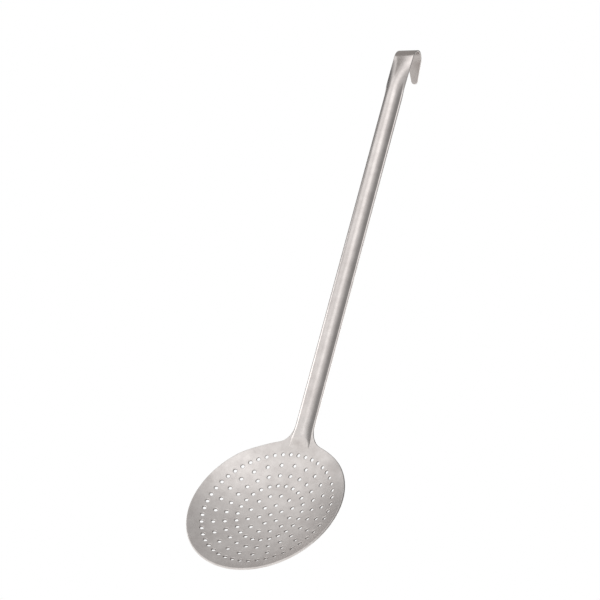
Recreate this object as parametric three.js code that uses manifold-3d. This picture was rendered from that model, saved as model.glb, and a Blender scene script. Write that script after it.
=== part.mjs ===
// A long-handled kitchen skimmer of stainless sheet: a punched dish, a ridged handle strip and a hanging hook.
// Millimetres and degrees. +Z runs up the handle, the hollow of the dish faces -Y, and X runs across.
// The origin is the inside crown of the hook, where a rail bears when the skimmer hangs.
import * as THREE from "three";
import { mergeGeometries, mergeVertices } from "three/addons/utils/BufferGeometryUtils.js";
import Module from "manifold-3d";

// Driving dimensions: the sheet and the dish
const SHEET = 2; // gauge of the sheet, the same everywhere
const DISH_DIAMETER = 160;
const DISH_DEPTH = 18.6; // rim plane to the middle of the sheet at the centre

// The punched holes, set out on the flat blank in rings round the centre
const HOLE_DIAMETER = 3.6;
const HOLE_RING_PITCH = 11.3;
const HOLES_PER_RING = [1, 6, 12, 24, 24, 24, 48];
const HOLE_PATTERN_TURN = 1.8; // the pattern sits this far round from the handle's line
const RIM_LAND = 8; // least plain band between the outer holes and the rim
const PUNCH_LENGTH = 120; // base to point, over which a punch tapers

// The handle strip and the ridge pressed into it
const STRIP_WIDTH = 22;
const STRIP_LENGTH = 433; // rim of the dish to the start of the hook's bend
const FLANGE_WIDTH = 1.6; // flat left on each side of the ridge
const RIDGE_HEIGHT = 7.2;
const RIDGE_TOE_REACH = 10; // how far the ridge runs in over the dish, from the rim
const RIDGE_TOE_RISE = 16; // length of its slope there
const RIDGE_OPENING = 22; // length over which it opens out into a dome, below the hook
const RIDGE_OPENING_LEAD = 5; // from there to the hook's weld
const CROWN_FALL = 58; // length over which its crown comes down, on into the hook

// The neck between dish and strip
const NECK_FILLET_RADIUS = 18; // outline of the wings, between rim and strip
const NECK_BLEND_REACH = 29; // how far inside the rim the dish starts to flatten across
const NECK_WELD_LEAD = 7; // straight strip between the wings and the weld

// The hook
const HOOK_TONGUE = 25; // from its weld to its bend, domed across
const HOOK_WIDENING = 1; // how far it stands out beyond the strip on each side
const HOOK_INNER_RADIUS = 12;
const HOOK_FLARE = 30; // how far the leg opens from the handle's line
const HOOK_DOME_END = 16; // along the bend, where its dome has run out
const HOOK_LEG_LENGTH = 22.5; // end of the bend to the tip
const HOOK_TAPER_START = 14; // along the bend, where the tongue starts to narrow
const HOOK_TIP_WIDTH = 8; // across the rounded tip

// The welds, on the back of the sheet
const WELD_WIDTH = 3;
const WELD_HEIGHT = 1;
const JOINT_GAP = 0.3; // between pieces that meet

// Faceting
const HOLE_SIDES = 8;
const RIM_STEPS = 38; // round the rim, from one wing to the other
const DISH_RING_POINTS = [6, 12, 18, 24]; // round each ring inside the rim band, from the centre out
const RIDGE_STEPS = 12; // across the ridge
const WING_STEPS = 3; // across each wing or flange
const BAND_RINGS = 3; // across the rim band
const NECK_ROWS = 9; // along the neck
const OPENING_STEPS = 8; // along the handle's upper end, where the ridge opens out
const TONGUE_STEPS = 4; // along the hook's tongue
const HOOK_DOME_STEPS = 6; // across the hook's dome
const BEND_STEPS = 12; // round the hook
const TIP_STEPS = 5; // round the hook's tip
const WELD_STEPS = 6; // across a weld bead

// Sizes that follow from these
const RIM_RADIUS = DISH_DIAMETER / 2;
const BALL_RADIUS = (RIM_RADIUS ** 2 + DISH_DEPTH ** 2) / (2 * DISH_DEPTH);
const SLOPE = Math.asin(RIM_RADIUS / BALL_RADIUS); // of the dish at its rim, which the strip carries on
const HALF_SHEET = SHEET / 2;
const HALF_STRIP = STRIP_WIDTH / 2;
const HALF_HOOK = HALF_STRIP + HOOK_WIDENING;
const RIDGE_HALF_FRONT = HALF_STRIP - FLANGE_WIDTH;
const RIDGE_HALF_BACK = RIDGE_HALF_FRONT - SHEET;
const BEND_RADIUS = HOOK_INNER_RADIUS + HALF_SHEET;
const BEND_ANGLE = Math.PI - THREE.MathUtils.degToRad(HOOK_FLARE);

// Places along the dish's own axis from its centre towards the handle
const FILLET_CENTRE_X = HALF_STRIP + NECK_FILLET_RADIUS;
const FILLET_END = Math.sqrt((RIM_RADIUS + NECK_FILLET_RADIUS) ** 2 - FILLET_CENTRE_X ** 2);
const RIM_SHARE = RIM_RADIUS / (RIM_RADIUS + NECK_FILLET_RADIUS);
const WING_TIP = new THREE.Vector2(FILLET_CENTRE_X, FILLET_END).multiplyScalar(RIM_SHARE);
const BAND_RADIUS = RIM_RADIUS - NECK_BLEND_REACH;
const NECK_END = FILLET_END + NECK_WELD_LEAD * Math.cos(SLOPE);
const RIDGE_TOE = RIM_RADIUS - RIDGE_TOE_REACH;

// Heights in the skimmer's own frame
const STRIP_Y = -BEND_RADIUS; // middle of the strip
const BEND_Z = -HOOK_INNER_RADIUS; // centre of the hook's bend
const RIM_Z = BEND_Z - STRIP_LENGTH;
const NECK_WELD_Z = RIM_Z + (NECK_END - RIM_RADIUS) / Math.cos(SLOPE) + JOINT_GAP / 2;
const HOOK_WELD_Z = BEND_Z - HOOK_TONGUE;

// Places along the strip, counted upwards from the start of the hook's bend
const OPENING_END = -HOOK_TONGUE - RIDGE_OPENING_LEAD;
const OPENING_START = OPENING_END - RIDGE_OPENING;
const CROWN_START = HOOK_DOME_END - CROWN_FALL;

const wasm = await Module();
wasm.setup();

// Eases from 0 to 1 as value goes from low to high.
const ease = (value, low, high) => THREE.MathUtils.smoothstep(value, low, high);

const steps = (count) => Array.from({ length: count + 1 }, (_, i) => i / count);

// A closed mesh from points and triangles, turned so that its faces point out.
function closedGeometry(points, triangles) {
  const volume = triangles.reduce(
    (sum, [a, b, c]) => sum + points[a].dot(new THREE.Vector3().crossVectors(points[b], points[c])),
    0,
  );
  const facing = volume > 0 ? triangles : triangles.map(([a, b, c]) => [a, c, b]);
  return new THREE.BufferGeometry().setFromPoints(points).setIndex(facing.flat());
}

// A solid through sections with flat ends. Each section has a front and a back edge, with as many points each.
function loft(sections) {
  const points = sections.flatMap(({ front, back }) => [...front, ...back.toReversed()]);
  const across = sections[0].front.length;
  const around = 2 * across;
  const final = points.length - around;
  const triangles = [];
  const quad = (a, b, c, d) => triangles.push([a, b, c], [a, c, d]);
  for (let start = 0; start < final; start += around) {
    for (let i = 0; i < around; i++) {
      const [a, b] = [start + i, start + ((i + 1) % around)];
      quad(a, b, b + around, a + around);
    }
  }
  for (let i = 0; i + 1 < across; i++) {
    const [behind, nextBehind] = [around - 1 - i, around - 2 - i];
    quad(behind, nextBehind, i + 1, i);
    quad(final + i, final + i + 1, final + nextBehind, final + behind);
  }
  return closedGeometry(points, triangles);
}

function toManifold(geometry) {
  const bare = new THREE.BufferGeometry().setAttribute("position", geometry.getAttribute("position"));
  bare.setIndex(geometry.index);
  const merged = mergeVertices(bare, 1e-4);
  return new wasm.Manifold(
    new wasm.Mesh({
      numProp: 3,
      vertProperties: new Float32Array(merged.getAttribute("position").array),
      triVerts: new Uint32Array(merged.index.array),
    }),
  );
}

function fromManifold(solid) {
  const mesh = solid.getMesh();
  return new THREE.BufferGeometry()
    .setAttribute("position", new THREE.BufferAttribute(mesh.vertProperties, 3))
    .setIndex(new THREE.BufferAttribute(mesh.triVerts, 1));
}

// One side of the sheet across the ridge: half-width of the ridge there, and the sheet's offset.
const FRONT = { half: RIDGE_HALF_FRONT, offset: HALF_SHEET };
const BACK = { half: RIDGE_HALF_BACK, offset: -HALF_SHEET };

// The ridge's columns from left to right, each with its place across and its share of the full height.
function ridgeColumns(side, count = RIDGE_STEPS) {
  return steps(count).map((share) => {
    const angle = (share - 0.5) * Math.PI;
    return { across: side.half * Math.sin(angle), lift: RIDGE_HEIGHT * Math.cos(angle) };
  });
}

// The dish's frame has its origin at the rim's centre, x across, y towards the handle, z to the hollow side.

// How round the sheet still is across the handle's line: 1 in the dish, 0 in the flat strip.
const roundness = (y) => 1 - ease(y, BAND_RADIUS, FILLET_END);

// Height of the middle of the sheet above the rim plane: a ball cap that runs out into a straight slope.
function sheetHeight(x, y) {
  const radius = Math.hypot(y, x * Math.sqrt(roundness(y)));
  const rimDrop = Math.sqrt(BALL_RADIUS ** 2 - RIM_RADIUS ** 2);
  if (radius < RIM_RADIUS) return rimDrop - Math.sqrt(BALL_RADIUS ** 2 - radius ** 2);
  return (radius - RIM_RADIUS) * Math.tan(SLOPE);
}

function sheetNormal(x, y) {
  const reach = 0.01;
  const alongX = (sheetHeight(x + reach, y) - sheetHeight(x - reach, y)) / (2 * reach);
  const alongY = (sheetHeight(x, y + reach) - sheetHeight(x, y - reach)) / (2 * reach);
  return new THREE.Vector3(-alongX, -alongY, 1).normalize();
}

function sheetPoint(x, y, offset) {
  return new THREE.Vector3(x, y, sheetHeight(x, y)).addScaledVector(sheetNormal(x, y), offset);
}

// Half-width of the outline at a place along the neck: the fillet, then the strip.
function neckHalfWidth(y) {
  if (y >= FILLET_END) return HALF_STRIP;
  return FILLET_CENTRE_X - Math.sqrt(NECK_FILLET_RADIUS ** 2 - (FILLET_END - y) ** 2);
}

// Triangles between two rings of point numbers that run the same way round, each given with its angles.
function zipRings(inner, outer) {
  const triangles = [];
  const id = (ring, k) => ring.ids[k % ring.ids.length];
  const angleAt = (ring, k) => (k < ring.ids.length ? ring.angles[k] : ring.angles[0] + 2 * Math.PI);
  let [i, j] = [0, 0];
  while (i < inner.ids.length || j < outer.ids.length) {
    const outerDone = j === outer.ids.length;
    const innerIsNext = i < inner.ids.length && angleAt(inner, i + 1) < angleAt(outer, j + 1);
    const stepInner = outerDone || innerIsNext;
    triangles.push([id(inner, i), id(outer, j), stepInner ? id(inner, i + 1) : id(outer, j + 1)]);
    if (stepInner) i += 1;
    else j += 1;
  }
  return triangles;
}

// One face of the dish's sheet: its points, its triangles and the loop of point numbers round its edge.
function dishFace(side) {
  const ridge = ridgeColumns(side);
  const wing = (sign) => steps(WING_STEPS).slice(1).map((share) => ({ sign, share, lift: 0 }));
  const neck = [...wing(-1).reverse(), ...ridge, ...wing(1)];
  const acrossAt = (column, outer) =>
    column.sign ? column.sign * THREE.MathUtils.lerp(side.half, outer, column.share) : column.across;
  const wingAngle = Math.atan2(WING_TIP.x, WING_TIP.y);
  const rimAngles = steps(RIM_STEPS)
    .slice(1, -1)
    .map((share) => THREE.MathUtils.lerp(wingAngle, 2 * Math.PI - wingAngle, share));
  const points = [sheetPoint(0, 0, side.offset)];
  const triangles = [];
  const put = (x, y, lift = 0) => {
    const risen = ease(y, RIDGE_TOE, RIDGE_TOE + RIDGE_TOE_RISE);
    return points.push(sheetPoint(x, y, side.offset + lift * risen)) - 1;
  };

  // The rim band's rings; in the neck the outermost is a straight row between the wings.
  const bandHalf = BAND_RADIUS * Math.sin(wingAngle);
  const bandStart = neck.map((column) => {
    const x = acrossAt(column, bandHalf);
    return new THREE.Vector2(x, Math.sqrt(BAND_RADIUS ** 2 - x ** 2));
  });
  const wingRow = neck.map((column) => new THREE.Vector2(acrossAt(column, WING_TIP.x), WING_TIP.y));
  const ring = (placeInNeck, radius) => [
    ...neck.map((column, i) => {
      const place = placeInNeck(i);
      return put(place.x, place.y, column.lift);
    }),
    ...rimAngles.map((angle) => put(radius * Math.sin(angle), radius * Math.cos(angle))),
  ];
  const band = steps(BAND_RINGS).map((share) =>
    ring(
      (i) => bandStart[i].clone().lerp(wingRow[i], share),
      THREE.MathUtils.lerp(BAND_RADIUS, RIM_RADIUS, share),
    ),
  );
  const around = band[0].length;
  band.slice(1).forEach((outer, k) => {
    for (let i = 0; i < around; i++) {
      const j = (i + 1) % around;
      triangles.push([band[k][i], outer[i], outer[j]], [band[k][i], outer[j], band[k][j]]);
    }
  });

  // Inside the rim band the rings have fewer points, half a step in from the band and from the centre.
  const rings = DISH_RING_POINTS.map((count, k) => {
    const radius = (BAND_RADIUS * (2 * k + 1)) / (2 * DISH_RING_POINTS.length + 1);
    const angles = Array.from({ length: count }, (_, i) => (2 * Math.PI * i) / count - wingAngle);
    return { angles, ids: angles.map((angle) => put(radius * Math.sin(angle), radius * Math.cos(angle))) };
  });
  const bandAngles = [...bandStart.map((place) => Math.atan2(place.x, place.y)), ...rimAngles];
  rings.push({ angles: bandAngles, ids: band[0] });
  rings[0].ids.forEach((id, i) => triangles.push([0, id, rings[0].ids[(i + 1) % rings[0].ids.length]]));
  rings.slice(1).forEach((outer, k) => triangles.push(...zipRings(rings[k], outer)));

  // Rows along the neck, from the line between the wings to the weld.
  const rows = [band.at(-1).slice(0, neck.length)];
  steps(NECK_ROWS)
    .slice(1)
    .forEach((share) => {
      const y = THREE.MathUtils.lerp(WING_TIP.y, NECK_END, share);
      rows.push(neck.map((column) => put(acrossAt(column, neckHalfWidth(y)), y, column.lift)));
    });
  rows.slice(1).forEach((row, k) => {
    for (let i = 0; i + 1 < row.length; i++) {
      triangles.push([rows[k][i], row[i], row[i + 1]], [rows[k][i], row[i + 1], rows[k][i + 1]]);
    }
  });

  const left = rows.slice(1).map((row) => row[0]);
  const right = rows.slice(1, -1).map((row) => row.at(-1));
  const rim = band.at(-1).slice(neck.length - 1);
  const edge = [...rim, rows[0][0], ...left, ...rows.at(-1).slice(1), ...right.reverse()];
  return { points, triangles, edge };
}

function dishSheet() {
  const front = dishFace(FRONT);
  const back = dishFace(BACK);
  const shift = front.points.length;
  const triangles = [...front.triangles];
  back.triangles.forEach(([a, b, c]) => triangles.push([shift + a, shift + c, shift + b]));
  front.edge.forEach((a, i) => {
    const j = (i + 1) % front.edge.length;
    const [b, c, d] = [front.edge[j], shift + back.edge[j], shift + back.edge[i]];
    triangles.push([a, c, b], [a, d, c]);
  });
  return closedGeometry([...front.points, ...back.points], triangles);
}

// Punches for every hole, square to the sheet; a ring that would leave too little rim is left off.
function holePunches() {
  const turn = THREE.MathUtils.degToRad(HOLE_PATTERN_TURN);
  // Each punch is a long cone with its base just behind the sheet, so a hole is a little wider at the back.
  const baseRadius = ((HOLE_DIAMETER / 2) * PUNCH_LENGTH) / (PUNCH_LENGTH - SHEET);
  const punches = HOLES_PER_RING.flatMap((count, ring) => {
    const radius = BALL_RADIUS * Math.sin((ring * HOLE_RING_PITCH) / BALL_RADIUS);
    if (radius + HOLE_DIAMETER / 2 + RIM_LAND > RIM_RADIUS) return [];
    return Array.from({ length: count }, (_, i) => {
      const angle = turn + (2 * Math.PI * i) / count;
      const [x, y] = [radius * Math.sin(angle), radius * Math.cos(angle)];
      const punch = new THREE.ConeGeometry(baseRadius, PUNCH_LENGTH, HOLE_SIDES);
      const square = new THREE.Quaternion().setFromUnitVectors(THREE.Object3D.DEFAULT_UP, sheetNormal(x, y));
      const centre = sheetPoint(x, y, PUNCH_LENGTH / 2 - SHEET);
      return punch.applyQuaternion(square).translate(centre.x, centre.y, centre.z);
    });
  });
  return mergeGeometries(punches);
}

function strainerDish() {
  return fromManifold(toManifold(dishSheet()).subtract(toManifold(holePunches())));
}

// One side of the sheet across the strip at a place along it, as places across and forward. Below the hook the
// ridge opens out into a dome over the strip's whole width, and the crown comes down until the hook is flat.
function stripProfile(side, along, count) {
  const opened = ease(along, OPENING_START, OPENING_END);
  const crown = 1 - ease(along, CROWN_START, HOOK_DOME_END);
  const half = THREE.MathUtils.lerp(HALF_STRIP, HALF_HOOK, opened);
  const ridge = ridgeColumns(side, count).map(({ across, lift }) => {
    const dome = RIDGE_HEIGHT * (1 - (across / half) ** 2);
    return [across, side.offset + crown * THREE.MathUtils.lerp(lift, dome, opened)];
  });
  return [[-half, side.offset], ...ridge, [half, side.offset]];
}

const inFrame = (across, forward, z) => new THREE.Vector3(across, STRIP_Y - forward, z);

function handleStrip() {
  const low = NECK_WELD_Z + JOINT_GAP / 2;
  const high = HOOK_WELD_Z - JOINT_GAP / 2;
  const headStart = BEND_Z + Math.min(OPENING_START, CROWN_START);
  const head = steps(OPENING_STEPS).map((share) => THREE.MathUtils.lerp(headStart, high, share));
  const sections = [low, ...head].map((z) => {
    const profile = (side) => stripProfile(side, z - BEND_Z);
    const edge = (side) => profile(side).map(([across, forward]) => inFrame(across, forward, z));
    return { front: edge(FRONT), back: edge(BACK) };
  });
  return loft(sections);
}

// A place along the hook's middle line, counted from the start of the bend, with the way the outside faces.
function hookPlace(along) {
  const angle = THREE.MathUtils.clamp(along / BEND_RADIUS, 0, BEND_ANGLE);
  const straight = along - angle * BEND_RADIUS;
  const outward = new THREE.Vector3(0, -Math.cos(angle), Math.sin(angle));
  const onward = new THREE.Vector3(0, Math.sin(angle), Math.cos(angle));
  const centre = new THREE.Vector3(0, 0, BEND_Z)
    .addScaledVector(outward, BEND_RADIUS)
    .addScaledVector(onward, straight);
  return { centre, outward };
}

function hangingHook() {
  const bendLength = BEND_RADIUS * BEND_ANGLE;
  const tipRadius = HOOK_TIP_WIDTH / 2;
  const tipStart = bendLength + HOOK_LEG_LENGTH - tipRadius;
  const halfWidth = (along) => {
    const share = THREE.MathUtils.clamp((along - HOOK_TAPER_START) / (tipStart - HOOK_TAPER_START), 0, 1);
    return THREE.MathUtils.lerp(HALF_HOOK, tipRadius, share);
  };
  const tongueStart = JOINT_GAP / 2 - HOOK_TONGUE;
  const tongue = steps(TONGUE_STEPS).map((share) => THREE.MathUtils.lerp(tongueStart, 0, share));
  const bend = steps(BEND_STEPS).map((share) => share * bendLength);
  const stations = [...tongue.slice(0, -1), ...bend, tipStart].map((along) => [along, halfWidth(along)]);
  steps(TIP_STEPS)
    .slice(1, -1)
    .forEach((share) => {
      const angle = (share * Math.PI) / 2;
      stations.push([tipStart + tipRadius * Math.sin(angle), tipRadius * Math.cos(angle)]);
    });
  const sections = stations.map(([along, half]) => {
    const { centre, outward } = hookPlace(along);
    const narrowed = half / HALF_HOOK;
    const edge = (side) =>
      stripProfile(side, along, HOOK_DOME_STEPS).map(([across, forward]) =>
        centre.clone().addScaledVector(outward, forward).setX(across * narrowed),
      );
    return { front: edge(FRONT), back: edge(BACK) };
  });
  return loft(sections);
}

// The line at a distance behind the strip's back, as places across and forward.
function lineBehind(z, distance) {
  const back = stripProfile(BACK, z - BEND_Z).map(([across, forward]) => new THREE.Vector2(across, forward));
  return back.map((place, i) => {
    const before = back[Math.max(i - 1, 0)];
    const after = back[Math.min(i + 1, back.length - 1)];
    const way = after.clone().sub(before).normalize();
    return place.clone().add(new THREE.Vector2(way.y, -way.x).multiplyScalar(distance));
  });
}

// A bead along the back of the strip at a height, following its hollow.
function weldBead(z) {
  const inset = 1 - JOINT_GAP / HALF_STRIP;
  const sections = steps(WELD_STEPS)
    .slice(1, -1)
    .map((share) => {
      const crown = WELD_HEIGHT * Math.sin(share * Math.PI);
      const height = z + (share - 0.5) * WELD_WIDTH;
      const edge = (distance) => lineBehind(height, distance).map((p) => inFrame(p.x * inset, p.y, height));
      return { front: edge(JOINT_GAP), back: edge(JOINT_GAP + crown) };
    });
  return loft(sections);
}

const stainless = { color: 0xb9b6b3, roughness: 0.38, metalness: 1 };
const beadSteel = { color: 0x9d9a97, roughness: 0.5, metalness: 1 };

function piece(name, geometry, finish) {
  const mesh = new THREE.Mesh(geometry, new THREE.MeshStandardMaterial(finish));
  mesh.name = name;
  return mesh;
}

// The dish hangs from the strip's lower end, its rim plane turned back from the handle's line.
const dishTurn = new THREE.Group();
dishTurn.rotation.x = Math.PI / 2 - SLOPE;
dishTurn.position.set(0, STRIP_Y - RIM_RADIUS * Math.sin(SLOPE), RIM_Z - RIM_RADIUS * Math.cos(SLOPE));
dishTurn.add(piece("strainer_dish", strainerDish(), stainless));

const skimmer = new THREE.Group();
skimmer.add(
  dishTurn,
  piece("handle_strip", handleStrip(), stainless),
  piece("hanging_hook", hangingHook(), stainless),
  piece("neck_weld", weldBead(NECK_WELD_Z), beadSteel),
  piece("hook_weld", weldBead(HOOK_WELD_Z), beadSteel),
);

export default skimmer;
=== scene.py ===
import math

import bmesh
import bpy
from mathutils import Matrix, Quaternion, Vector


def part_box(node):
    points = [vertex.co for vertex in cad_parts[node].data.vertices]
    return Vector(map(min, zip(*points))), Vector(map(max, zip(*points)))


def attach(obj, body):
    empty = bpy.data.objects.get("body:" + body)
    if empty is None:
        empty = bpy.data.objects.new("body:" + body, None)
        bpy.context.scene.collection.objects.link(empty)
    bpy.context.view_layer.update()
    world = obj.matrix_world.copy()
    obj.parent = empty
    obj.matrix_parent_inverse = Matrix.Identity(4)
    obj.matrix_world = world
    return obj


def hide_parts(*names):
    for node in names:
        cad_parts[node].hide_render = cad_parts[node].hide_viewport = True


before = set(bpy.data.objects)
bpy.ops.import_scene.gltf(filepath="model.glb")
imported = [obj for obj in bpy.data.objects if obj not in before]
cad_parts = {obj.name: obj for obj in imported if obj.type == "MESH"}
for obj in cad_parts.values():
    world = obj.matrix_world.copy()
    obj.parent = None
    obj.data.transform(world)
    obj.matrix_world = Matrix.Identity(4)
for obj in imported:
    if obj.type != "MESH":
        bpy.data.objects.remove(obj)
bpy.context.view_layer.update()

MM = 0.001
FULL_TURN = 2 * math.pi

# The sheet
GAUGE = 2 * MM
EDGE_RADIUS = 0.7 * MM  # that tumbling leaves on every cut edge
EDGE_STEPS = 4  # round each rounded edge
SHARP_ANGLE = math.radians(50)  # a fold tighter than this shades as a crease

# The handle strip and its ridge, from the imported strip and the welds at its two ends
STRIP_LOW, STRIP_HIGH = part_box("handle_strip")
HOOK_HALF = STRIP_HIGH.x  # half-width of the hook, and of the strip where it meets the hook
STRIP_HALF = HOOK_HALF - 1 * MM
STRIP_MIDDLE = STRIP_HIGH.y - GAUGE / 2  # place of the middle of the sheet along Y
RIDGE_HEIGHT = STRIP_HIGH.y - GAUGE - STRIP_LOW.y
NECK_JOINT = sum(corner.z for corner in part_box("neck_weld")) / 2
HOOK_JOINT = sum(corner.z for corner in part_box("hook_weld")) / 2
RIDGE_HALF = STRIP_HALF - 1.6 * MM  # the rest is the flange on each side
RIDGE_FOOT = 0.8 * MM  # radius of the crease between ridge and flange

# The hook
HOOK_INSIDE = 12 * MM
BEND_RADIUS = HOOK_INSIDE + GAUGE / 2
BEND_CENTRE = -HOOK_INSIDE
BEND_ANGLE = math.radians(150)
HOOK_LEG = 22.5 * MM  # end of the bend to the tip
HOOK_TAPER_START = 14 * MM  # along the bend, where the tongue starts to narrow
HOOK_TIP_RADIUS = 4 * MM

# The strip's upper end, counted upwards from the start of the hook's bend: its ridge opens out into a
# dome as wide as the hook, and the crown comes down until the hook is flat
HOOK_START = HOOK_JOINT - BEND_CENTRE
OPENING_END = HOOK_START - 5 * MM
OPENING_START = OPENING_END - 22 * MM
DOME_END = 16 * MM
CROWN_START = DOME_END - 58 * MM

# The dish: a ball cap, with the strip carried on from its rim
RIM_RADIUS = 80 * MM
DISH_DEPTH = 18.6 * MM  # rim plane to the middle of the sheet at the centre
BALL_RADIUS = (RIM_RADIUS**2 + DISH_DEPTH**2) / (2 * DISH_DEPTH)
RIM_SLOPE = math.asin(RIM_RADIUS / BALL_RADIUS)
RIM_PLACE = BEND_CENTRE - 433 * MM  # of the rim's uppermost point along Z

# The neck, in the dish's own frame: x across, y towards the handle, z to the hollow side
NECK_FILLET = 18 * MM  # radius of the wings' outline
NECK_BLEND = 29 * MM  # how far inside the rim the dish starts to flatten across
FILLET_ACROSS = STRIP_HALF + NECK_FILLET
FILLET_END = math.sqrt((RIM_RADIUS + NECK_FILLET) ** 2 - FILLET_ACROSS**2)
BAND_RADIUS = RIM_RADIUS - NECK_BLEND
NECK_END = RIM_RADIUS + (NECK_JOINT - RIM_PLACE) * math.cos(RIM_SLOPE)
RIDGE_TOE = RIM_RADIUS - 10.6 * MM  # where the ridge starts in the dish
RIDGE_TOE_RISE = 13.5 * MM  # up the neck from there, over which it comes to its full height
RIDGE_TOE_FLARE = 0.2  # how much wider the ridge is there than in the strip

# The punched holes, set out on the flat blank in rings round the centre
HOLE_RADIUS = 1.8 * MM
HOLE_LIP = 0.9 * MM  # radius of the worn lips on both faces
HOLE_RING_PITCH = 11.3 * MM
HOLES_PER_RING = (1, 6, 12, 24, 24, 24, 48)
HOLE_PATTERN_TURN = math.radians(1.8)  # how far round from the handle's line the pattern sits

# The welds on the back
WELD_WIDTH = 3 * MM
WELD_HEIGHT = 0.9 * MM
WELD_RIPPLE = 0.9 * MM  # from one ripple to the next
WELD_OVERLAP = 1.3  # half a ripple's length, in steps from one to the next
WELD_INSET = 1.2 * MM  # from the strip's edge to the middle of the last ripple

# The finishes
MOTTLE = 14 * MM  # size of the soft clouds that polishing leaves
MOTTLE_DETAIL = 6
MOTTLE_BREAKUP = 0.7  # strength of the smaller clouds in the larger ones
MOTTLE_LOW = 0.3  # the noise value that counts as darkest
MOTTLE_HIGH = 0.7  # and as lightest
GRAIN_DETAIL = 2
TUMBLED_GRAIN = (1.2 * MM, 1.2 * MM, 1.2 * MM)
DRAWN_GRAIN = (0.5 * MM, 0.5 * MM, 12 * MM)  # fine lines along the strip
BEAD_GRAIN = (0.4 * MM, 0.4 * MM, 0.4 * MM)
HANDLE_POLISH = 0.58  # how much of the roughness is left on the handle
POLISH_START = RIM_PLACE - 14 * MM  # height in the neck where its polish starts
DULLNESS_AND_SHADE = "unpolished"  # face attribute: how far no belt has reached a face, which makes it rougher, and how far shade is painted into its colour
# painted shade: the darker grey that the marked faces' colour is mixed towards
PAINTED_SHADE_GREY = "#827d7a"
UNPOLISHED_ROUGHNESS = 0.5
WALL_STEEP = 0.2  # flatness up to which the inside of a hole is cut wall, fully painted with shade
WALL_FLAT = 0.75  # flatness from which its lip is polished like the sheet, without painted shade
HOOK_DULLNESS_AND_SHADE = 0.42  # how far the inside of the hook is left dull and painted with shade
HOOK_INSIDE_TURN = 0.3  # over which that starts, as faces turn towards the middle of the bend

# Photograph's camera: where it stands, the point that it looks at and how far it is rolled
CAMERA_PLACE = Vector((720.7, -1161.5, -702.7)) * MM
CAMERA_AIM = Vector((0, -81.9, -322.1)) * MM
CAMERA_ROLL = math.radians(15.45)
CAMERA_LENS = 83.35  # mm, on Blender's own 36 mm sensor

# The studio: a white room, in which each lobe adds or takes light. A lobe has the azimuth and elevation
# that it comes from, the radius of its core and how far it reaches, all in degrees, and what it adds to
# the white
FILL_LEVEL = 0.9  # of the white room's own soft light
STUDIO_LOBES = (
    (0, 90, 10, 68, -0.34),  # dim ceiling
    (3, 31, 3, 25, 0.5),  # softbox in front
    (-42, 32, 5, 22, 0.16),  # fill beside it
    (-92, 7, 9, 16, 1.3),  # low white screen at the left
    (-76, 26, 3, 12, -0.55),  # dark gap above it
    (-94, 26, 3, 13, -0.55),  # the gap, farther round
    (-112, 26, 3, 13, -0.32),  # its faint end
    (-140, 16, 10, 55, -0.55),  # dark flag behind the screen
    (118, 10, 10, 108, -0.66),  # dark flag at the right
    (150, 5, 9, 22, 2.0),  # low white screen behind
)

# A level grey card over the hook, which only the metal sees
CARD_PLACE = Vector((-65, -18, 110)) * MM
CARD_SIZE = Vector((170 * MM, 230 * MM, 1))
CARD_GREY = "#a3a19f"

FLOOR_LEVEL = -950 * MM
FLOOR_SIZE = 8  # metres
FLOOR_WHITE = "#ecebe9"
FLOOR_ROUGHNESS = 0.9
FLOOR_GLOW = 0.68  # that keeps the floor as white as the room


def add_node(tree, kind, inputs=None, **settings):
    """Adds a node with its settings; each input takes a value or the output socket that feeds it."""
    node = tree.nodes.new(kind)
    for name, value in settings.items():
        setattr(node, name, value)
    for name, value in (inputs or {}).items():
        if isinstance(value, bpy.types.NodeSocket):
            tree.links.new(value, node.inputs[name])
        else:
            node.inputs[name].default_value = value
    return node


def colour(code):
    """Linear RGBA from an sRGB hex colour."""
    channels = [int(code[i : i + 2], 16) / 255 for i in (1, 3, 5)]
    return [c / 12.92 if c <= 0.04045 else ((c + 0.055) / 1.055) ** 2.4 for c in channels] + [1]


def spread(low, high, count):
    """Values from low to high in so many even steps, both ends included."""
    return [low + (high - low) * i / count for i in range(count + 1)]


def ease(value, low, high):
    """Goes smoothly from 0 to 1 as value goes from low to high."""
    share = min(max((value - low) / (high - low), 0), 1)
    return share * share * (3 - 2 * share)


def grid_faces(rows):
    """Quads between neighbouring rows of point numbers."""
    faces = []
    for low, high in zip(rows, rows[1:]):
        for i in range(len(low) - 1):
            faces.append((low[i], low[i + 1], high[i + 1], high[i]))
    return faces


def make_camera():
    back = (CAMERA_PLACE - CAMERA_AIM).normalized()
    camera = bpy.data.objects.new("camera", bpy.data.cameras.new("camera"))
    camera.data.lens = CAMERA_LENS
    camera.location = CAMERA_PLACE
    camera.rotation_mode = "QUATERNION"
    camera.rotation_quaternion = back.to_track_quat("Z", "Y") @ Quaternion((0, 0, 1), CAMERA_ROLL)
    bpy.context.scene.collection.objects.link(camera)
    bpy.context.scene.camera = camera


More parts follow.
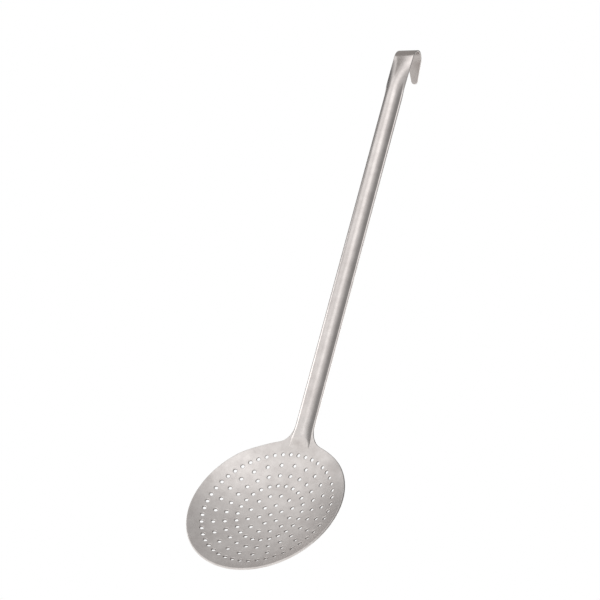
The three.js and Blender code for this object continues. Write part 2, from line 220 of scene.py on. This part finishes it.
def stainless(name, dark, light, smooth, dull, grain, depth):
    """A satin stainless finish, softly mottled between two greys and two roughnesses.

    It is smoother up the handle. The grain gives the size of its finest marks across, through and along
    the sheet, and depth how deep they are.
    """
    material = bpy.data.materials.new(name)
    material.use_nodes = True
    tree = material.node_tree
    shader = tree.nodes["Principled BSDF"]
    shader.inputs["Metallic"].default_value = 1
    place = add_node(tree, "ShaderNodeTexCoord").outputs["Object"]
    mottle = add_node(
        tree,
        "ShaderNodeTexNoise",
        {"Vector": place, "Scale": 1 / MOTTLE, "Detail": MOTTLE_DETAIL, "Roughness": MOTTLE_BREAKUP},
    )
    cloud = add_node(
        tree,
        "ShaderNodeMapRange",
        {"Value": mottle.outputs["Fac"], "From Min": MOTTLE_LOW, "From Max": MOTTLE_HIGH},
    ).outputs["Result"]
    tint = add_node(
        tree, "ShaderNodeMix", {"Factor": cloud, "A": colour(dark), "B": colour(light)}, data_type="RGBA"
    )
    # Painted shade: faces marked with the attribute have their colour mixed towards a darker grey; they
    # are also made rougher
    unpolished = add_node(tree, "ShaderNodeAttribute", attribute_name=DULLNESS_AND_SHADE).outputs["Fac"]
    painted_shade_tint = add_node(
        tree,
        "ShaderNodeMix",
        {"Factor": unpolished, "A": tint.outputs["Result"], "B": colour(PAINTED_SHADE_GREY)},
        data_type="RGBA",
    )
    tree.links.new(painted_shade_tint.outputs["Result"], shader.inputs["Base Color"])
    gloss = add_node(tree, "ShaderNodeMapRange", {"Value": cloud, "To Min": dull, "To Max": smooth})
    height = add_node(tree, "ShaderNodeSeparateXYZ", {"Vector": place}).outputs["Z"]
    polish = add_node(
        tree,
        "ShaderNodeMapRange",
        {
            "Value": height,
            "From Min": POLISH_START,
            "From Max": NECK_JOINT,
            "To Min": 1,
            "To Max": HANDLE_POLISH,
        },
        interpolation_type="SMOOTHSTEP",
    )
    polished = add_node(
        tree,
        "ShaderNodeMath",
        {0: gloss.outputs["Result"], 1: polish.outputs["Result"]},
        operation="MULTIPLY",
    )
    roughness = add_node(
        tree,
        "ShaderNodeMix",
        {"Factor": unpolished, "A": polished.outputs[0], "B": UNPOLISHED_ROUGHNESS},
        data_type="FLOAT",
    )
    tree.links.new(roughness.outputs["Result"], shader.inputs["Roughness"])
    stretch = add_node(
        tree, "ShaderNodeVectorMath", {0: place, 1: [1 / size for size in grain]}, operation="MULTIPLY"
    )
    marks = add_node(
        tree, "ShaderNodeTexNoise", {"Vector": stretch.outputs[0], "Scale": 1, "Detail": GRAIN_DETAIL}
    )
    bump = add_node(
        tree, "ShaderNodeBump", {"Height": marks.outputs["Fac"], "Distance": depth, "Strength": 1}
    )
    tree.links.new(bump.outputs["Normal"], shader.inputs["Normal"])
    return material


def rounded_sheet(points, faces, at_joint):
    """A closed sheet from the points and quads of its front face, with its back one gauge behind.

    Its open edges are rounded over; where at_joint(point) holds, the edge stays square to butt on its
    neighbour.
    """
    mesh = bmesh.new()
    front = [mesh.verts.new(point) for point in points]
    for face in faces:
        mesh.faces.new([front[i] for i in face])
    mesh.verts.index_update()
    mesh.normal_update()
    normals = [vert.normal.copy() for vert in front]
    edges = [
        (loop.vert.index, loop.link_loop_next.vert.index)
        for face in mesh.faces
        for loop in face.loops
        if loop.edge.is_boundary
    ]
    back = [mesh.verts.new(point - normal * GAUGE) for point, normal in zip(points, normals)]
    for face in faces:
        mesh.faces.new([back[i] for i in reversed(face)])

    butted = [(a, b) for a, b in edges if at_joint(points[a]) and at_joint(points[b])]
    rounded = [edge for edge in edges if edge not in butted]
    outwards = {i: Vector() for edge in rounded for i in edge}
    for a, b in rounded:
        for i in (a, b):
            outwards[i] += (points[b] - points[a]).cross(normals[i]).normalized()

    # From the front over the rounded edge to the back, at every point of the open edges
    turns = spread(0, math.pi / 2, EDGE_STEPS)[1:]
    rolls = {}
    for i, outward in outwards.items():
        out = outward.normalized() * EDGE_RADIUS
        sink = normals[i] * EDGE_RADIUS
        bow = [out * math.sin(turn) - sink * (1 - math.cos(turn)) for turn in turns]
        under = [out * math.sin(turn) + sink * (1 - math.cos(turn)) for turn in reversed(turns)]
        roll = [points[i] + step for step in bow] + [back[i].co + step for step in under]
        rolls[i] = [front[i], *(mesh.verts.new(point) for point in roll), back[i]]
    for a, b in rounded:
        for k in range(len(rolls[a]) - 1):
            mesh.faces.new((rolls[b][k], rolls[a][k], rolls[a][k + 1], rolls[b][k + 1]))
    for a, b in butted:
        mesh.faces.new((front[b], front[a], back[a], back[b]))
        if a in rolls:
            mesh.faces.new(rolls[a])
        if b in rolls:
            mesh.faces.new(rolls[b][::-1])
    return mesh


def make_piece(name, mesh, material, place=Matrix()):
    """An object from a bmesh, with its one material."""
    data = bpy.data.meshes.new(name)
    mesh.to_mesh(data)
    mesh.free()
    data.transform(place)
    data.materials.append(material)
    piece = bpy.data.objects.new(name, data)
    bpy.context.scene.collection.objects.link(piece)
    return piece


def settle(piece):
    """Turns the piece's modifiers into plain mesh."""
    depsgraph = bpy.context.evaluated_depsgraph_get()
    piece.data = bpy.data.meshes.new_from_object(piece.evaluated_get(depsgraph), depsgraph=depsgraph)
    piece.modifiers.clear()


def shade_sheet(piece):
    """Smooth shading in which the broad faces stay true and the small rounded edges take up the turn."""
    piece.data.shade_smooth()
    piece.data.set_sharp_from_angle(angle=SHARP_ANGLE)
    weighted = piece.modifiers.new("weighted_normals", "WEIGHTED_NORMAL")
    weighted.keep_sharp = True
    settle(piece)


def mark_dullness_and_shade(piece, share_of):
    """Notes on each face of the piece how far it is left dull and painted with shade."""
    shares = [share_of(face) for face in piece.data.polygons]
    piece.data.attributes.new(DULLNESS_AND_SHADE, "FLOAT", "FACE").data.foreach_set("value", shares)


def hand_over(piece, node):
    piece.data.name = piece.name
    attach(piece, "root")
    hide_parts(node)


OVAL_STEPS = 12  # from the ridge's foot to its crown
FOOT_STEPS = 4  # round the crease at its foot
FOOT_ROUNDS = 6  # of the search for where crease and oval meet
WING_STEPS = 4  # across each wing or flange
STRIP_ROWS = 18  # along the strip, up to where its ridge opens out
OPENING_ROWS = 27  # from there to the hook
TONGUE_ROWS = 25  # from the strip to the hook's bend
BEND_ROWS = 40
LEG_ROWS = 6
TIP_ROWS = 10  # round the hook's tip


def ridge_columns():
    """Places across the ridge's front and its heights there: crease, oval, crease."""
    turn = math.pi / 2
    for _ in range(FOOT_ROUNDS):
        steep = math.hypot(RIDGE_HEIGHT * math.sin(turn), RIDGE_HALF * math.cos(turn))
        turn = math.acos(RIDGE_FOOT / (RIDGE_HEIGHT + RIDGE_FOOT * RIDGE_HALF / steep))
    lean = math.atan2(RIDGE_HEIGHT * math.sin(turn), RIDGE_HALF * math.cos(turn))
    foot = RIDGE_HALF * math.sin(turn) + RIDGE_FOOT * math.sin(lean)
    half = [
        (foot - RIDGE_FOOT * math.sin(angle), RIDGE_FOOT - RIDGE_FOOT * math.cos(angle))
        for angle in spread(0, lean, FOOT_STEPS)[:-1]
    ]
    half += [
        (RIDGE_HALF * math.sin(angle), RIDGE_HEIGHT * math.cos(angle))
        for angle in spread(turn, 0, OVAL_STEPS)
    ]
    return [(-across, lift) for across, lift in half] + half[-2::-1]


RIDGE = ridge_columns()
RIDGE_EDGE = RIDGE[-1][0]


def strip_columns(outer, flare=1):
    """Places across the whole front, with the ridge's heights, out to a given half-width.

    The flare is how many times wider the ridge is than in the strip.
    """
    wing = [(across, 0) for across in spread(RIDGE_EDGE * flare, outer, WING_STEPS)[1:]]
    ridge = [(across * flare, lift) for across, lift in RIDGE]
    return [(-across, lift) for across, lift in reversed(wing)] + ridge + wing


def strip_section(along):
    """Places across the strip's front and their heights, at a place counted from the hook's bend."""
    opened = ease(along, OPENING_START, OPENING_END)
    crown = 1 - ease(along, CROWN_START, DOME_END)
    half = STRIP_HALF + (HOOK_HALF - STRIP_HALF) * opened
    section = []
    for x, lift in strip_columns(half - EDGE_RADIUS):
        dome = RIDGE_HEIGHT * (1 - (x / half) ** 2)
        section.append((x, crown * (lift + (dome - lift) * opened)))
    return section


def handle_strip(material):
    head = BEND_CENTRE + OPENING_START
    heights = spread(NECK_JOINT, head, STRIP_ROWS)[:-1] + spread(head, HOOK_JOINT, OPENING_ROWS)
    points = []
    rows = []
    for z in heights:
        section = strip_section(z - BEND_CENTRE)
        rows.append(range(len(points), len(points) + len(section)))
        points += [Vector((x, STRIP_MIDDLE - GAUGE / 2 - lift, z)) for x, lift in section]
    ends = (heights[0], heights[-1])
    mesh = rounded_sheet(points, grid_faces(rows), lambda point: point.z in ends)
    return make_piece("handle_strip_sheet", mesh, material)


def hook_place(along):
    """A point on the hook's middle line, counted from its bend, and the way its outside faces."""
    angle = min(max(along / BEND_RADIUS, 0), BEND_ANGLE)
    outward = Vector((0, -math.cos(angle), math.sin(angle)))
    onward = Vector((0, math.sin(angle), math.cos(angle)))
    middle = Vector((0, 0, BEND_CENTRE)) + outward * BEND_RADIUS + onward * (along - angle * BEND_RADIUS)
    return middle, outward


def inside_hook(face):
    """How far a face is dull and painted with shade: it looks towards the middle of the bend, from the
    crown to the tip, where the hook shades itself.
    """
    inward = Vector((0, -face.center.y, BEND_CENTRE - face.center.z)).normalized()
    past_crown = ease(face.center.y, -HOOK_INSIDE, 0)
    return HOOK_DULLNESS_AND_SHADE * past_crown * ease(face.normal.dot(inward), 0, HOOK_INSIDE_TURN)


def hanging_hook(material):
    tip_radius = HOOK_TIP_RADIUS - EDGE_RADIUS
    bend_end = BEND_RADIUS * BEND_ANGLE
    tip_start = bend_end + HOOK_LEG - HOOK_TIP_RADIUS
    tongue = spread(HOOK_START, 0, TONGUE_ROWS)[:-1]
    leg = spread(bend_end, tip_start, LEG_ROWS)[1:]
    stations = []
    for along in tongue + spread(0, bend_end, BEND_ROWS) + leg:
        narrowed = min(max((along - HOOK_TAPER_START) / (tip_start - HOOK_TAPER_START), 0), 1)
        half = HOOK_HALF + (HOOK_TIP_RADIUS - HOOK_HALF) * narrowed - EDGE_RADIUS
        stations.append((along, half))
    for angle in spread(0, math.pi / 2, TIP_ROWS)[1:-1]:
        stations.append((tip_start + tip_radius * math.sin(angle), tip_radius * math.cos(angle)))
    points = []
    rows = []
    for along, half in stations:
        middle, outward = hook_place(along)
        section = strip_section(along)
        squeeze = half / section[-1][0]
        rows.append(range(len(points), len(points) + len(section)))
        for x, lift in section:
            points.append(middle + outward * (GAUGE / 2 + lift) + Vector((x * squeeze, 0, 0)))
    middle, outward = hook_place(tip_start + tip_radius)
    points.append(middle + outward * GAUGE / 2)
    tip = len(points) - 1
    faces = grid_faces(rows) + [(a, b, tip) for a, b in zip(rows[-1], rows[-1][1:])]
    mesh = rounded_sheet(points, faces, lambda point: point.z == points[0].z)
    hook = make_piece("hanging_hook_sheet", mesh, material)
    # painted shade: the inside of the hook's bend is marked dull and darkened
    mark_dullness_and_shade(hook, inside_hook)
    return hook


SLOPE_REACH = 0.01 * MM  # to each side, over which the dish's slope is taken
RIM_STEPS = 120  # round the rim, from one wing to the other
INNER_RINGS = 12  # from the dish's centre to the rim band
BAND_RINGS = 18  # across the rim band
NECK_ROWS = 14  # from the line between the wings to the joint


def sheet_height(x, y):
    """Height of the middle of the sheet over the rim plane: a ball cap that runs out into the strip."""
    roundness = 1 - ease(y, BAND_RADIUS, FILLET_END)
    radius = math.hypot(y, x * math.sqrt(roundness))
    if radius < RIM_RADIUS:
        return math.sqrt(BALL_RADIUS**2 - RIM_RADIUS**2) - math.sqrt(BALL_RADIUS**2 - radius**2)
    return (radius - RIM_RADIUS) * math.tan(RIM_SLOPE)


def dish_point(x, y, lift):
    """A point on the dish's front, with the ridge's lift eased in along its toe."""
    reach = SLOPE_REACH
    along_x = (sheet_height(x + reach, y) - sheet_height(x - reach, y)) / (2 * reach)
    along_y = (sheet_height(x, y + reach) - sheet_height(x, y - reach)) / (2 * reach)
    normal = Vector((-along_x, -along_y, 1)).normalized()
    risen = ease(y, RIDGE_TOE, RIDGE_TOE + RIDGE_TOE_RISE)
    return Vector((x, y, sheet_height(x, y))) + normal * (GAUGE / 2 + lift * risen)


def dish_sheet(material):
    """The dish before punching, in its own frame."""
    rim = RIM_RADIUS - EDGE_RADIUS
    fillet = NECK_FILLET + EDGE_RADIUS
    wing_x = FILLET_ACROSS * rim / (rim + fillet)
    wing_y = FILLET_END * rim / (rim + fillet)
    wing_angle = math.atan2(wing_x, wing_y)
    rim_angles = spread(wing_angle, FULL_TURN - wing_angle, RIM_STEPS)[1:-1]
    points = [dish_point(0, 0, 0)]

    def row(places):
        first = len(points)
        points.extend(dish_point(*place) for place in places)
        return list(range(first, len(points)))

    # Rings of the dish; in the neck the band's rings straighten into a line between the wings
    toe_width = 1 + RIDGE_TOE_FLARE
    band_columns = strip_columns(BAND_RADIUS * math.sin(wing_angle), toe_width)
    band_start = [(x, math.sqrt(BAND_RADIUS**2 - x**2)) for x, _ in band_columns]
    wing_row = strip_columns(wing_x, toe_width)
    rings = []
    for share in spread(0, 1, INNER_RINGS)[1:]:
        around = [math.atan2(x, y) for x, y in band_start] + rim_angles
        radius = BAND_RADIUS * share
        rings.append(row([(radius * math.sin(angle), radius * math.cos(angle), 0) for angle in around]))
    for share in spread(0, 1, BAND_RINGS)[1:]:
        radius = BAND_RADIUS + (rim - BAND_RADIUS) * share
        places = []
        for (x, y), (outer_x, lift) in zip(band_start, wing_row):
            places.append((x + (outer_x - x) * share, y + (wing_y - y) * share, lift))
        places += [(radius * math.sin(angle), radius * math.cos(angle), 0) for angle in rim_angles]
        rings.append(row(places))
    faces = [(0, b, a) for a, b in zip(rings[0], rings[0][1:] + rings[0][:1])]
    for inner, outer in zip(rings, rings[1:]):
        faces += grid_faces([inner + inner[:1], outer + outer[:1]])

    # Rows of the neck, from the line between the wings to the joint
    rows = [rings[-1][: len(wing_row)]]
    for y in spread(wing_y, NECK_END, NECK_ROWS)[1:]:
        outer = STRIP_HALF - EDGE_RADIUS
        if y < FILLET_END:
            outer = FILLET_ACROSS - math.sqrt(fillet**2 - (FILLET_END - y) ** 2)
        flare = toe_width - RIDGE_TOE_FLARE * ease(y, wing_y, FILLET_END)
        rows.append(row([(x, y, lift) for x, lift in strip_columns(outer, flare)]))
    faces += grid_faces(rows)
    joint = {tuple(points[i]) for i in rows[-1]}
    mesh = rounded_sheet(points, faces, lambda point: tuple(point) in joint)
    return make_piece("strainer_dish_sheet", mesh, material)


PUNCH_SIDES = 16
PUNCH_REACH = 0.5 * MM  # how far a punch stands out beyond each face of the sheet
LIP_STEPS = 4  # round each lip
LIP_END = math.radians(86)  # where a lip runs out, almost flat with the sheet


def hole_punch():
    """What one hole takes out, standing on the middle of the sheet: a throat with flared lips."""
    land = GAUGE / 2 - HOLE_LIP
    profile = [
        (HOLE_RADIUS + HOLE_LIP * (1 - math.cos(angle)), land + HOLE_LIP * math.sin(angle))
        for angle in spread(0, LIP_END, LIP_STEPS)
    ]
    flare = (GAUGE / 2 - profile[-1][1]) * 2 * math.tan(LIP_END)
    profile.append((profile[-1][0] + flare, GAUGE - profile[-1][1]))
    profile.append((profile[-1][0], GAUGE / 2 + PUNCH_REACH))
    profile = [(radius, -height) for radius, height in reversed(profile)] + profile
    mesh = bmesh.new()
    rings = []
    for radius, height in profile:
        turns = spread(0, FULL_TURN, PUNCH_SIDES)[:-1]
        ring = [(radius * math.cos(turn), radius * math.sin(turn), height) for turn in turns]
        rings.append([mesh.verts.new(point) for point in ring])
    for low, high in zip(rings, rings[1:]):
        for i in range(PUNCH_SIDES):
            mesh.faces.new((low[i - 1], low[i], high[i], high[i - 1]))
    mesh.faces.new(rings[0][::-1])
    mesh.faces.new(rings[-1])
    data = bpy.data.meshes.new("hole_punch")
    mesh.to_mesh(data)
    mesh.free()
    return bpy.data.objects.new("hole_punch", data)


def node_group(name, inputs):
    """A Geometry Nodes tree with named inputs and one mesh coming out, and its two end nodes."""
    tree = bpy.data.node_groups.new(name, "GeometryNodeTree")
    for label, kind in inputs.items():
        tree.interface.new_socket(label, in_out="INPUT", socket_type=kind)
    tree.interface.new_socket("Geometry", in_out="OUTPUT", socket_type="NodeSocketGeometry")
    return tree, add_node(tree, "NodeGroupInput"), add_node(tree, "NodeGroupOutput")


def run_tree(piece, tree, values):
    """Runs a tree on a piece with its inputs set by name, and keeps the result as plain mesh."""
    modifier = piece.modifiers.new(tree.name, "NODES")
    modifier.node_group = tree
    for item in tree.interface.items_tree:
        if item.in_out == "INPUT" and item.name in values:
            modifier[item.identifier] = values[item.name]
    settle(piece)


def hole_ring_tree():
    """Punches set square to the ball in one ring, at a lean from the dish's axis."""
    tree, start, end = node_group(
        "hole_ring",
        {
            "Holes": "NodeSocketInt",
            "Lean": "NodeSocketFloat",
            "Pattern turn": "NodeSocketFloat",
            "Ball radius": "NodeSocketFloat",
            "Ball centre": "NodeSocketFloat",
            "Punch": "NodeSocketObject",
        },
    )
    given = start.outputs
    number = add_node(tree, "GeometryNodeInputIndex").outputs["Index"]
    step = add_node(tree, "ShaderNodeMath", {0: -FULL_TURN, 1: given["Holes"]}, operation="DIVIDE")
    around = add_node(tree, "ShaderNodeMath", {0: number, 1: step.outputs[0]}, operation="MULTIPLY")
    turn = add_node(
        tree, "ShaderNodeMath", {0: around.outputs[0], 1: given["Pattern turn"]}, operation="SUBTRACT"
    )
    angles = add_node(tree, "ShaderNodeCombineXYZ", {"X": given["Lean"], "Z": turn.outputs[0]})
    rotation = add_node(tree, "FunctionNodeEulerToRotation", {"Euler": angles.outputs[0]}).outputs[0]
    drop = add_node(tree, "ShaderNodeMath", {0: given["Ball radius"], 1: -1}, operation="MULTIPLY")
    straight = add_node(tree, "ShaderNodeCombineXYZ", {"Z": drop.outputs[0]})
    swung = add_node(
        tree, "FunctionNodeRotateVector", {"Vector": straight.outputs[0], "Rotation": rotation}
    )
    centre = add_node(tree, "ShaderNodeCombineXYZ", {"Z": given["Ball centre"]})
    place = add_node(
        tree, "ShaderNodeVectorMath", {0: swung.outputs[0], 1: centre.outputs[0]}, operation="ADD"
    )
    points = add_node(
        tree, "GeometryNodePoints", {"Count": given["Holes"], "Position": place.outputs[0]}
    )
    punch = add_node(tree, "GeometryNodeObjectInfo", {"Object": given["Punch"]})
    punches = add_node(
        tree,
        "GeometryNodeInstanceOnPoints",
        {"Points": points.outputs[0], "Instance": punch.outputs["Geometry"], "Rotation": rotation},
    )
    tree.links.new(punches.outputs[0], end.inputs[0])
    return tree


def perforation_tree():
    """Punches the rings of holes through the dish."""
    tree, start, end = node_group(
        "perforations",
        {
            "Sheet": "NodeSocketGeometry",
            "Ring pitch": "NodeSocketFloat",
            "Ball radius": "NodeSocketFloat",
            "Ball centre": "NodeSocketFloat",
            "Pattern turn": "NodeSocketFloat",
            "Punch": "NodeSocketObject",
            "Finish": "NodeSocketMaterial",
        },
    )
    given = start.outputs
    ring_tree = hole_ring_tree()
    pitch = add_node(
        tree, "ShaderNodeMath", {0: given["Ring pitch"], 1: given["Ball radius"]}, operation="DIVIDE"
    )
    together = add_node(tree, "GeometryNodeJoinGeometry")
    for ring, count in enumerate(HOLES_PER_RING):
        lean = add_node(tree, "ShaderNodeMath", {0: pitch.outputs[0], 1: ring}, operation="MULTIPLY")
        shared = {name: given[name] for name in ("Pattern turn", "Ball radius", "Ball centre", "Punch")}
        holes = add_node(tree, "GeometryNodeGroup", node_tree=ring_tree)
        for name, socket in {"Lean": lean.outputs[0], **shared}.items():
            tree.links.new(socket, holes.inputs[name])
        holes.inputs["Holes"].default_value = count
        tree.links.new(holes.outputs[0], together.inputs[0])
    punches = add_node(tree, "GeometryNodeRealizeInstances", {"Geometry": together.outputs[0]})
    punched = add_node(
        tree,
        "GeometryNodeMeshBoolean",
        {"Mesh 1": given["Sheet"], "Mesh 2": punches.outputs[0]},
        operation="DIFFERENCE",
        solver="MANIFOLD",
    )
    whole = add_node(tree, "GeometryNodeRealizeInstances", {"Geometry": punched.outputs["Mesh"]})
    finish = add_node(
        tree, "GeometryNodeSetMaterial", {"Geometry": whole.outputs[0], "Material": given["Finish"]}
    )
    tree.links.new(finish.outputs[0], end.inputs[0])
    return tree


def in_hole_wall(face):
    """How far a face is dull and painted with shade: it stands up from the ball, within the rings of
    holes.
    """
    reach = HOLE_RING_PITCH * (len(HOLES_PER_RING) - 1) + HOLE_RADIUS + HOLE_LIP
    if math.hypot(face.center.x, face.center.y) >= reach:
        return 0
    centre = Vector((0, 0, BALL_RADIUS - DISH_DEPTH))
    flatness = abs(face.normal.dot((face.center - centre).normalized()))
    return 1 - ease(flatness, WALL_STEEP, WALL_FLAT)


def strainer_dish(material):
    dish = dish_sheet(material)
    sizes = {
        "Ring pitch": HOLE_RING_PITCH,
        "Ball radius": BALL_RADIUS,
        "Ball centre": BALL_RADIUS - DISH_DEPTH,
        "Pattern turn": HOLE_PATTERN_TURN,
    }
    run_tree(dish, perforation_tree(), {**sizes, "Punch": hole_punch(), "Finish": material})
    # painted shade: the hole walls are marked dull and darkened
    mark_dullness_and_shade(dish, in_hole_wall)
    centre_y = STRIP_MIDDLE - RIM_RADIUS * math.sin(RIM_SLOPE)
    centre_z = RIM_PLACE - RIM_RADIUS * math.cos(RIM_SLOPE)
    hang = Matrix.Translation((0, centre_y, centre_z))
    dish.data.transform(hang @ Matrix.Rotation(math.pi / 2 - RIM_SLOPE, 4, "X"))
    return dish


RIPPLE_SEGMENTS = 16
RIPPLE_RINGS = 8


def weld_tree():
    """A bead of overlapping ripples along a path, joined into one skin."""
    tree, start, end = node_group(
        "weld_ripples",
        {
            "Path": "NodeSocketGeometry",
            "Ripple pitch": "NodeSocketFloat",
            "Ripple half length": "NodeSocketFloat",
            "Bead half width": "NodeSocketFloat",
            "Bead height": "NodeSocketFloat",
            "Finish": "NodeSocketMaterial",
        },
    )
    given = start.outputs
    line = add_node(tree, "GeometryNodeMeshToCurve", {"Mesh": given["Path"]})
    stops = add_node(
        tree,
        "GeometryNodeResampleCurve",
        {"Curve": line.outputs[0], "Length": given["Ripple pitch"]},
        mode="LENGTH",
    )
    onward = add_node(tree, "GeometryNodeInputTangent")
    turn = add_node(
        tree,
        "FunctionNodeAlignRotationToVector",
        {"Vector": onward.outputs[0]},
        axis="X",
        pivot_axis="Z",
    )
    size = add_node(
        tree,
        "ShaderNodeCombineXYZ",
        {"X": given["Ripple half length"], "Y": given["Bead height"], "Z": given["Bead half width"]},
    )
    ripple = add_node(
        tree,
        "GeometryNodeMeshUVSphere",
        {"Segments": RIPPLE_SEGMENTS, "Rings": RIPPLE_RINGS, "Radius": 1},
    )
    ripples = add_node(
        tree,
        "GeometryNodeInstanceOnPoints",
        {
            "Points": stops.outputs[0],
            "Instance": ripple.outputs["Mesh"],
            "Rotation": turn.outputs[0],
            "Scale": size.outputs[0],
        },
    )
    skin = add_node(
        tree,
        "GeometryNodeMeshBoolean",
        {"Mesh 2": ripples.outputs[0]},
        operation="UNION",
        solver="MANIFOLD",
    )
    whole = add_node(tree, "GeometryNodeRealizeInstances", {"Geometry": skin.outputs["Mesh"]})
    finish = add_node(
        tree, "GeometryNodeSetMaterial", {"Geometry": whole.outputs[0], "Material": given["Finish"]}
    )
    tree.links.new(finish.outputs[0], end.inputs[0])
    return tree


def weld_bead(name, tree, z, material):
    """A bead along the back of the strip at a height, following its hollow."""
    section = strip_section(z - BEND_CENTRE)
    reach = section[-1][0] + EDGE_RADIUS - WELD_INSET
    front = [Vector((x, GAUGE / 2 + lift)) for x, lift in section if abs(x) < reach]
    path = []
    for i, point in enumerate(front):
        onward = (front[min(i + 1, len(front) - 1)] - front[max(i - 1, 0)]).normalized()
        behind = point - Vector((-onward.y, onward.x)) * GAUGE
        path.append(Vector((behind.x, STRIP_MIDDLE - behind.y, z)))
    mesh = bmesh.new()
    verts = [mesh.verts.new(point) for point in path]
    for a, b in zip(verts, verts[1:]):
        mesh.edges.new((a, b))
    bead = make_piece(name, mesh, material)
    sizes = {
        "Ripple pitch": WELD_RIPPLE,
        "Ripple half length": WELD_OVERLAP * WELD_RIPPLE,
        "Bead half width": WELD_WIDTH / 2,
        "Bead height": WELD_HEIGHT,
    }
    run_tree(bead, tree, {**sizes, "Finish": material})
    return bead


def make_floor():
    mesh = bmesh.new()
    bmesh.ops.create_grid(mesh, size=FLOOR_SIZE / 2)
    material = bpy.data.materials.new("pale_matt_floor")
    material.use_nodes = True
    shader = material.node_tree.nodes["Principled BSDF"]
    shader.inputs["Base Color"].default_value = colour(FLOOR_WHITE)
    shader.inputs["Roughness"].default_value = FLOOR_ROUGHNESS
    shader.inputs["Emission Color"].default_value = (1, 1, 1, 1)
    shader.inputs["Emission Strength"].default_value = FLOOR_GLOW
    floor = make_piece("floor", mesh, material, Matrix.Translation((0, 0, FLOOR_LEVEL)))


def make_card():
    """The card has an even glow of its own, so that the lobes don't change its grey."""
    mesh = bmesh.new()
    bmesh.ops.create_grid(mesh, size=0.5)
    material = bpy.data.materials.new("card_over_hook")
    material.use_nodes = True
    shader = material.node_tree.nodes["Principled BSDF"]
    shader.inputs["Base Color"].default_value = (0, 0, 0, 1)
    shader.inputs["Specular IOR Level"].default_value = 0
    shader.inputs["Emission Color"].default_value = colour(CARD_GREY)
    shader.inputs["Emission Strength"].default_value = 1
    card = make_piece("card_over_hook", mesh, material, Matrix.LocRotScale(CARD_PLACE, None, CARD_SIZE))
    card.visible_camera = False
    card.visible_diffuse = False
    card.visible_shadow = False


def make_world():
    """A white studio: the camera sees plain white, and the metal also the lobes of light and shade."""
    world = bpy.data.worlds.new("studio")
    world.use_nodes = True
    tree = world.node_tree
    way = add_node(tree, "ShaderNodeTexCoord").outputs["Generated"]
    graded = 0
    for azimuth, elevation, core, reach, gain in STUDIO_LOBES:
        a, e = math.radians(azimuth), math.radians(elevation)
        axis = (math.sin(a) * math.cos(e), -math.cos(a) * math.cos(e), math.sin(e))
        near = add_node(tree, "ShaderNodeVectorMath", {0: way, 1: axis}, operation="DOT_PRODUCT")
        lobe = add_node(
            tree,
            "ShaderNodeMapRange",
            {
                "Value": near.outputs["Value"],
                "From Min": math.cos(math.radians(reach)),
                "From Max": math.cos(math.radians(core)),
                "To Min": 0,
                "To Max": gain,
            },
            interpolation_type="SMOOTHSTEP",
        )
        total = add_node(tree, "ShaderNodeMath", {0: lobe.outputs["Result"], 1: graded}, operation="ADD")
        graded = total.outputs[0]
    ray = add_node(tree, "ShaderNodeLightPath").outputs
    mirrored = add_node(
        tree,
        "ShaderNodeMath",
        {0: ray["Is Glossy Ray"], 1: ray["Is Transmission Ray"]},
        operation="MAXIMUM",
    )
    seen = add_node(
        tree, "ShaderNodeMath", {0: ray["Is Camera Ray"], 1: mirrored.outputs[0]}, operation="MAXIMUM"
    )
    white = add_node(
        tree, "ShaderNodeMix", {"Factor": seen.outputs[0], "A": FILL_LEVEL, "B": 1}, data_type="FLOAT"
    )
    lit = add_node(tree, "ShaderNodeMath", {0: 1, 1: ray["Is Camera Ray"]}, operation="SUBTRACT")
    strength = add_node(
        tree,
        "ShaderNodeMath",
        {0: graded, 1: lit.outputs[0], 2: white.outputs["Result"]},
        operation="MULTIPLY_ADD",
    )
    shader = tree.nodes["Background"]
    shader.inputs["Color"].default_value = (1, 1, 1, 1)
    tree.links.new(strength.outputs[0], shader.inputs["Strength"])
    bpy.context.scene.world = world


make_camera()
# The pressed dish is tumbled to an even satin; the strip and its hook keep faint lines from being drawn;
# the beads are brushed clean and stay duller
tumbled = stainless(
    "tumbled_satin_stainless",
    dark="#c7c1be",
    light="#dcd7d4",
    smooth=0.32,
    dull=0.41,
    grain=TUMBLED_GRAIN,
    depth=0.05 * MM,
)
drawn = stainless(
    "drawn_satin_stainless",
    dark="#c7c0bd",
    light="#dcd6d3",
    smooth=0.32,
    dull=0.41,
    grain=DRAWN_GRAIN,
    depth=0.012 * MM,
)
brushed = stainless(
    "brushed_weld_steel",
    dark="#96918c",
    light="#b8b3ad",
    smooth=0.7,
    dull=0.9,
    grain=BEAD_GRAIN,
    depth=0.04 * MM,
)

dish = strainer_dish(tumbled)
shade_sheet(dish)
hand_over(dish, "strainer_dish")
handle = handle_strip(drawn)
shade_sheet(handle)
hand_over(handle, "handle_strip")
hook = hanging_hook(drawn)
shade_sheet(hook)
hand_over(hook, "hanging_hook")

beads = weld_tree()
for node, z in (("neck_weld", NECK_JOINT), ("hook_weld", HOOK_JOINT)):
    bead = weld_bead(f"{node}_bead", beads, z, brushed)
    bead.data.shade_smooth()
    hand_over(bead, node)
make_floor()
make_card()
make_world()
bpy.context.scene.view_settings.view_transform = "Standard"
